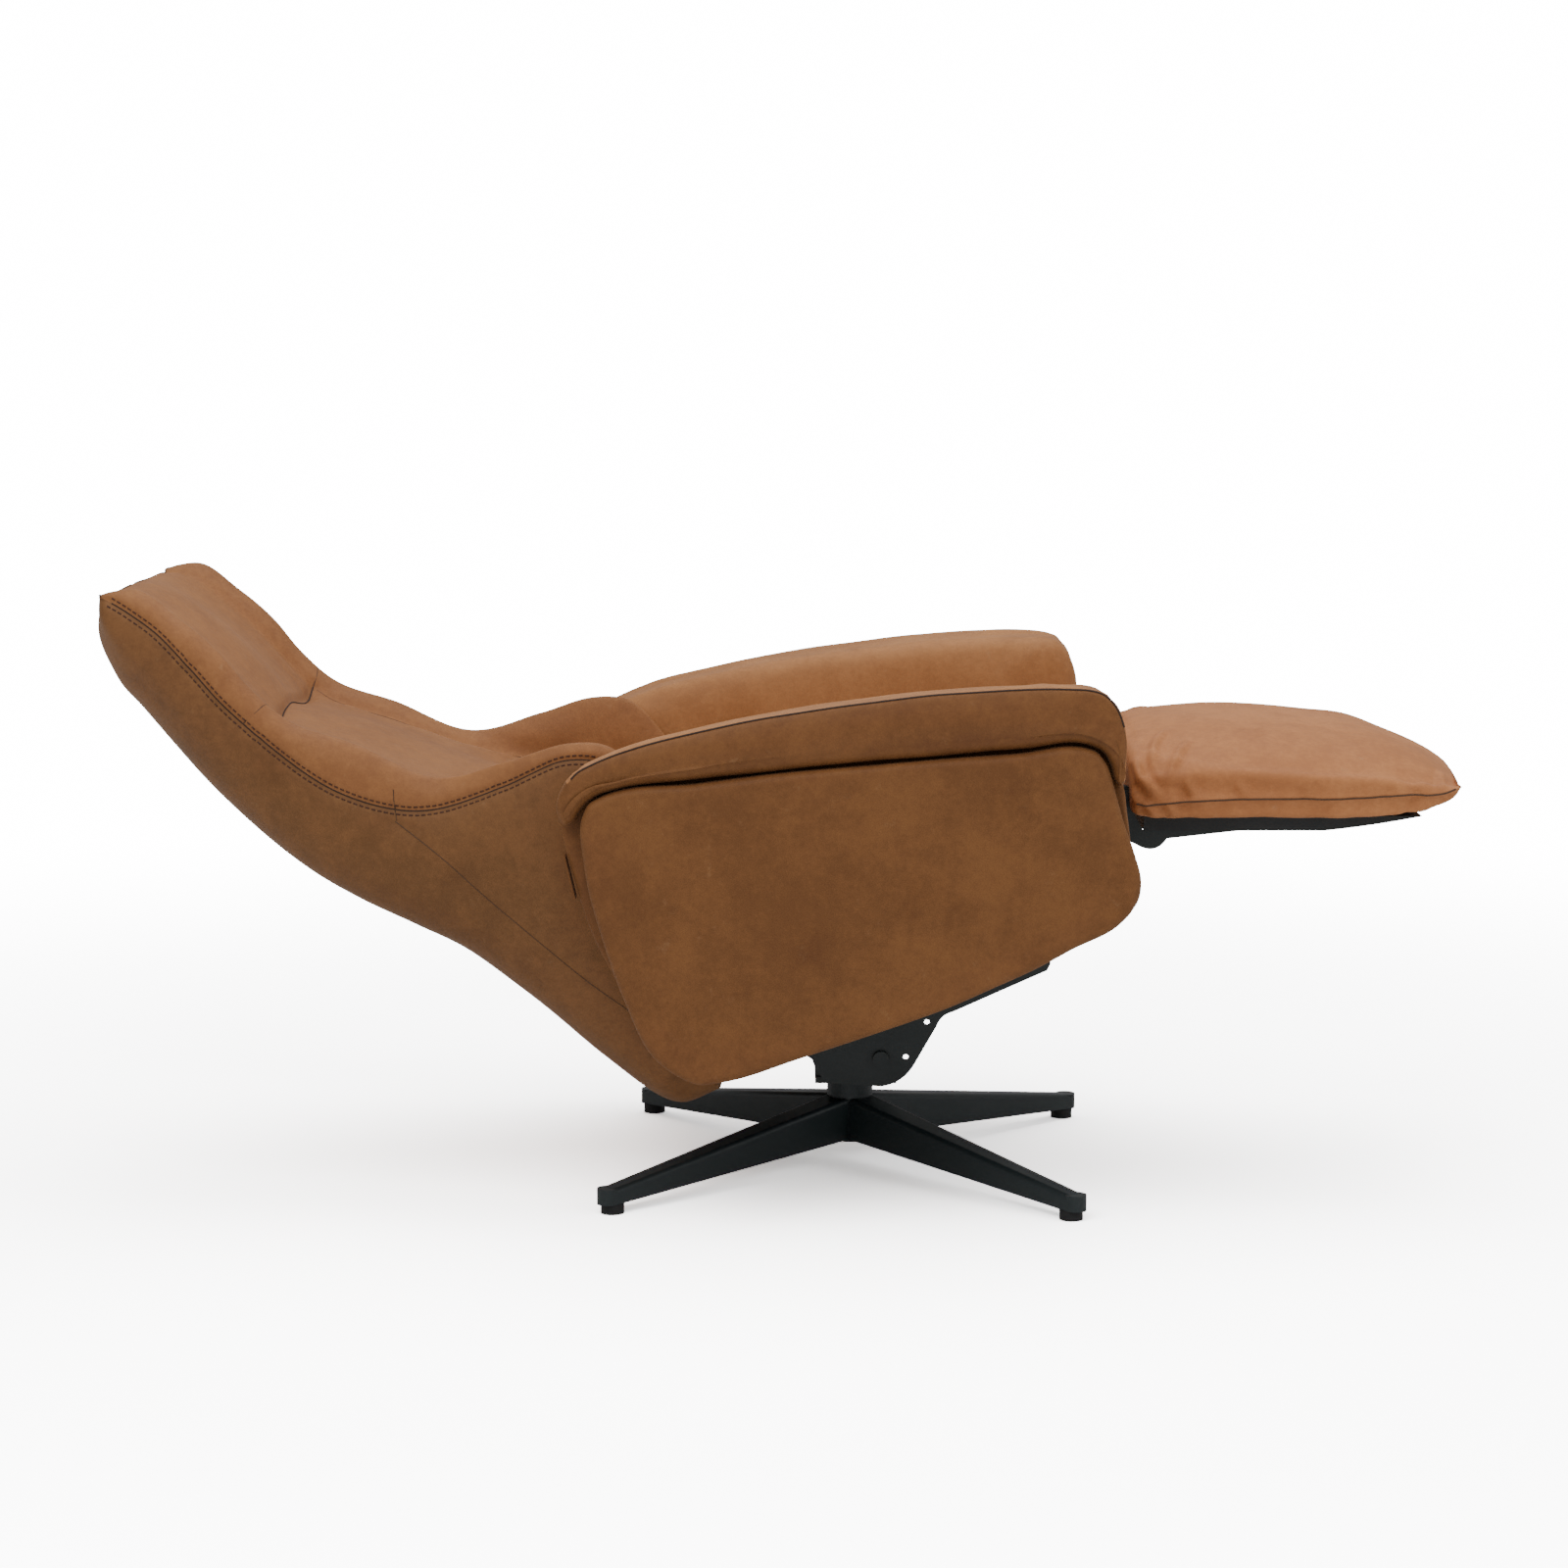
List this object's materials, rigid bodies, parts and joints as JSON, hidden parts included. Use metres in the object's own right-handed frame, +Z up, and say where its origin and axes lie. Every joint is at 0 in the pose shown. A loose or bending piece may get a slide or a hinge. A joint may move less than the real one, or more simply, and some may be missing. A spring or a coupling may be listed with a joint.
{
  "type": "recliner armchair",
  "caption": "Leather relax armchair on a swivelling star base, lying back with its headrest tilted and its padded footrest out.",
  "frame": {"origin": "on the floor, on the swivel axis, at the centre of the four glides", "axes": "+X to the front of the seat and the footrest, +Y to the sitter's left, +Z up"},
  "size_m": [1.6252, 0.782, 0.7413],
  "materials": {
    "base_black": "satin",
    "plate_black": "satin",
    "glide_plastic": "matte",
    "turned_steel": "satin",
    "bolt_steel": "satin",
    "buffer_rubber": "matte",
    "plywood": "matte",
    "webbing": "matte",
    "cover_cloth": "matte",
    "tray_black": "satin",
    "seat_leather": "matte",
    "arm_leather": "matte",
    "shell_leather": "matte"
  },
  "bodies": {
    "base": {"star_base": "base_black", "foot_glides": "glide_plastic", "hub_bush": "glide_plastic", "thrust_ring": "glide_plastic", "hub_bottom_cap": "glide_plastic"},
    "swivel": {"swivel_spindle": "turned_steel", "swivel_yoke": "plate_black", "tilt_bushes": "glide_plastic", "rest_buffers": "buffer_rubber"},
    "chassis": {"arm_board_left": "plywood", "arm_board_right": "plywood", "arm_body_left": "arm_leather", "arm_body_right": "arm_leather", "arm_bolts": "bolt_steel", "arm_tag": "arm_leather", "dust_cover": "cover_cloth", "footrest_bracket_left": "plate_black", "footrest_bracket_right": "plate_black", "footrest_pins": "plate_black", "recline_stud_left": "turned_steel", "recline_stud_right": "turned_steel", "seat_cross_front": "plywood", "seat_cross_rear": "plywood", "seat_cushion": "seat_leather", "seat_front_board": "arm_leather", "seat_rail_left": "plywood", "seat_rail_right": "plywood", "seat_straps": "webbing", "side_panel_left": "arm_leather", "side_panel_right": "arm_leather", "spring_anchor_pin": "turned_steel", "tilt_bolt": "plate_black", "tilt_cross_plate": "plate_black", "tilt_plate_left": "plate_black", "tilt_plate_right": "plate_black", "tilt_spacers": "plate_black"},
    "backrest": {"back_cushion": "seat_leather", "back_board_right": "plywood", "back_board_left": "plywood", "back_slats": "plywood", "back_straps": "webbing", "recline_hinge_plates": "plate_black", "headrest_pins": "turned_steel", "back_shell": "shell_leather", "back_gusset_right": "shell_leather", "back_gusset_left": "shell_leather", "side_wing_right": "shell_leather", "side_wing_left": "shell_leather", "spring_clevis": "plate_black"},
    "headrest": {"headrest_cushion": "seat_leather", "headrest_sides": "seat_leather", "headrest_shell": "shell_leather", "headrest_arms": "plate_black"},
    "footrest": {"footrest_pad": "seat_leather", "footrest_tray": "tray_black", "footrest_hinge_right": "plate_black", "footrest_hinge_left": "plate_black"},
    "spring_tube": {"gas_spring_tube": "plate_black"},
    "spring_rod": {"gas_spring_rod": "turned_steel"}
  },
  "joints": [
    {"name": "swivel_turn", "type": "hinge", "parent": "base", "child": "swivel", "pos_m": [0, 0, 0.106], "axis": [0, 0, 1], "continuous": true},
    {"name": "seat_tilt", "type": "hinge", "parent": "swivel", "child": "chassis", "pos_m": [0.037, 0, 0.147], "axis": [0, 1, 0], "range_deg": [0, 10]},
    {"name": "back_recline", "type": "hinge", "parent": "chassis", "child": "backrest", "pos_m": [-0.262, 0, 0.38], "axis": [0, 1, 0], "range_deg": [0, 42]},
    {"name": "headrest_tilt", "type": "hinge", "parent": "backrest", "child": "headrest", "pos_m": [-0.712, 0, 0.541], "axis": [0, 1, 0], "range_deg": [-20, 15]},
    {"name": "footrest_fold", "type": "hinge", "parent": "chassis", "child": "footrest", "pos_m": [0.322, 0, 0.495], "axis": [0, 1, 0], "range_deg": [0, 72]},
    {"name": "spring_tube_swing", "type": "hinge", "parent": "chassis", "child": "spring_tube", "pos_m": [0.15, 0, 0.262], "axis": [0, 1, 0], "range_deg": [-0.5, 5]},
    {"name": "spring_rod_slide", "type": "slide", "parent": "spring_tube", "child": "spring_rod", "axis": [-0.997, 0, -0.0774], "range_m": [-0.001, 0.103]}
  ],
  "couplings": [
    {"joint": "spring_tube_swing", "follows": "back_recline", "ratio": 0.10958},
    {"joint": "spring_rod_slide", "follows": "back_recline", "m_per_rad": 0.13799}
  ]
}
